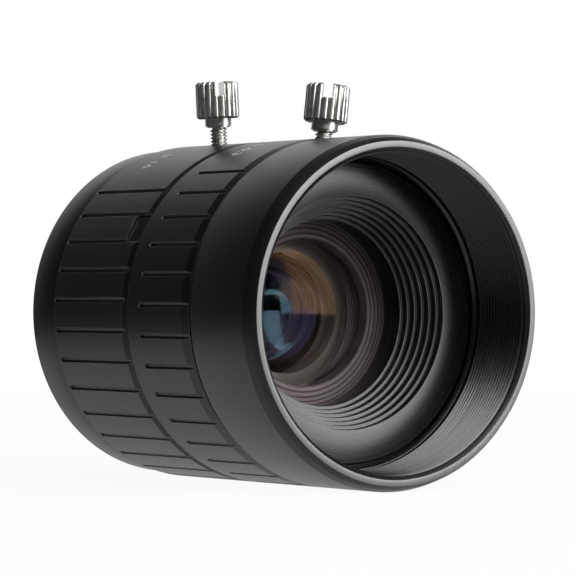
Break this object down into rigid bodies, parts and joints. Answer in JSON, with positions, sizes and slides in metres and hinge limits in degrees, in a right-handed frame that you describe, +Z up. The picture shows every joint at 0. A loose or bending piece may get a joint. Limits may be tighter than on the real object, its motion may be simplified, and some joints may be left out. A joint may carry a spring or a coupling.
{
  "type": "c-mount machine vision lens",
  "caption": "Fixed focal length machine vision lens with a screw mount, a focus ring and an iris ring that turn, each with its own lock screw, and an iris that opens and closes.",
  "frame": {"origin": "centre of the flat face that seats on the camera, on the optical axis", "axes": "-Y along the optical axis towards the scene, +Y towards the camera, +Z up through the lock screws"},
  "size_m": [0.039, 0.05, 0.0464],
  "materials": {
    "black_anodised": "black anodised, satin, finely turned",
    "matt_black": "black anodised, matt, ridged against stray light",
    "inner_black": "matt black anodised",
    "nickel_screw": "nickel plated, knurled",
    "black_steel": "blackened spring steel",
    "brass": "plain turned",
    "coated_glass": "polished, with a mauve and amber anti-reflection coating",
    "inner_glass": "polished, with a green and amber anti-reflection coating"
  },
  "bodies": {
    "barrel": {"camera_mount": "black_anodised", "mount_screws": "black_steel", "main_barrel": "inner_black", "front_hood": "black_anodised", "focus_thrust_washer": "brass", "iris_thrust_washer": "brass"},
    "focus_ring": {"focus_ring": "black_anodised"},
    "focus_plug": {"focus_lock_plug": "brass"},
    "focus_screw": {"focus_lock_screw": "nickel_screw"},
    "iris_ring": {"iris_ring": "black_anodised"},
    "iris_plug": {"iris_lock_plug": "brass"},
    "iris_screw": {"iris_lock_screw": "nickel_screw"},
    "cell": {"cell_barrel": "inner_black", "name_ring": "matt_black", "focus_cam_pins": "brass", "front_element": "coated_glass", "front_spacer": "inner_black", "second_element": "inner_glass", "middle_spacer": "inner_black", "third_element": "inner_glass", "iris_base_ring": "brass", "rear_cell": "inner_black", "fourth_element": "inner_glass", "fifth_element": "inner_glass", "rear_spacer": "inner_black", "sixth_element": "inner_glass", "last_spacer": "inner_black", "seventh_element": "inner_glass", "rear_retaining_ring": "inner_black"},
    "iris_drive": {"iris_drive_ring": "brass", "iris_drive_pin": "black_steel"},
    "blade_1": {"iris_blade_1": "black_steel"},
    "blade_2": {"iris_blade_2": "black_steel"},
    "blade_3": {"iris_blade_3": "black_steel"},
    "blade_4": {"iris_blade_4": "black_steel"},
    "blade_5": {"iris_blade_5": "black_steel"},
    "blade_6": {"iris_blade_6": "black_steel"}
  },
  "joints": [
    {"name": "focus_turn", "type": "hinge", "parent": "barrel", "child": "focus_ring", "pos_m": [0, 0, 0], "axis": [0, -1, 0], "range_deg": [0, 100]},
    {"name": "focus_slide", "type": "slide", "parent": "barrel", "child": "cell", "axis": [0, -1, 0], "range_m": [0, 0.0014]},
    {"name": "iris_turn", "type": "hinge", "parent": "barrel", "child": "iris_ring", "pos_m": [0, 0, 0], "axis": [0, -1, 0], "range_deg": [0, 45]},
    {"name": "iris_drive_turn", "type": "hinge", "parent": "cell", "child": "iris_drive", "pos_m": [0, 0, 0], "axis": [0, -1, 0], "range_deg": [0, 45]},
    {"name": "blade_1_swing", "type": "hinge", "parent": "cell", "child": "blade_1", "pos_m": [0, 0, 0.0124], "axis": [0, 1, 0], "range_deg": [0, 40]},
    {"name": "blade_2_swing", "type": "hinge", "parent": "cell", "child": "blade_2", "pos_m": [0.01074, 0, 0.0062], "axis": [0, 1, 0], "range_deg": [0, 40]},
    {"name": "blade_3_swing", "type": "hinge", "parent": "cell", "child": "blade_3", "pos_m": [0.01074, 0, -0.0062], "axis": [0, 1, 0], "range_deg": [0, 40]},
    {"name": "blade_4_swing", "type": "hinge", "parent": "cell", "child": "blade_4", "pos_m": [0, 0, -0.0124], "axis": [0, 1, 0], "range_deg": [0, 40]},
    {"name": "blade_5_swing", "type": "hinge", "parent": "cell", "child": "blade_5", "pos_m": [-0.01074, 0, -0.0062], "axis": [0, 1, 0], "range_deg": [0, 40]},
    {"name": "blade_6_swing", "type": "hinge", "parent": "cell", "child": "blade_6", "pos_m": [-0.01074, 0, 0.0062], "axis": [0, 1, 0], "range_deg": [0, 40]},
    {"name": "focus_screw_travel", "type": "slide", "parent": "focus_ring", "child": "focus_plug", "axis": [0.1153, 0, 0.9933], "range_m": [0, 0.0012]},
    {"name": "focus_screw_turn", "type": "hinge", "parent": "focus_plug", "child": "focus_screw", "pos_m": [0.00249, -0.0284, 0.02145], "axis": [0.1153, 0, 0.9933], "range_deg": [0, 1080]},
    {"name": "iris_screw_travel", "type": "slide", "parent": "iris_ring", "child": "iris_plug", "axis": [-0.0502, 0, 0.9987], "range_m": [-0.0009, 0.0003]},
    {"name": "iris_screw_turn", "type": "hinge", "parent": "iris_plug", "child": "iris_screw", "pos_m": [-0.00113, -0.0119, 0.0225], "axis": [-0.0502, 0, 0.9987], "range_deg": [-810, 270]}
  ],
  "couplings": [
    {"joint": "focus_turn", "follows": "focus_slide", "rad_per_m": 1246.7},
    {"joint": "iris_drive_turn", "follows": "iris_turn", "ratio": 1},
    {"joint": "blade_1_swing", "follows": "iris_turn", "ratio": 0.88889},
    {"joint": "blade_2_swing", "follows": "iris_turn", "ratio": 0.88889},
    {"joint": "blade_3_swing", "follows": "iris_turn", "ratio": 0.88889},
    {"joint": "blade_4_swing", "follows": "iris_turn", "ratio": 0.88889},
    {"joint": "blade_5_swing", "follows": "iris_turn", "ratio": 0.88889},
    {"joint": "blade_6_swing", "follows": "iris_turn", "ratio": 0.88889},
    {"joint": "focus_screw_turn", "follows": "focus_screw_travel", "rad_per_m": 15708},
    {"joint": "iris_screw_turn", "follows": "iris_screw_travel", "rad_per_m": 15708}
  ]
}
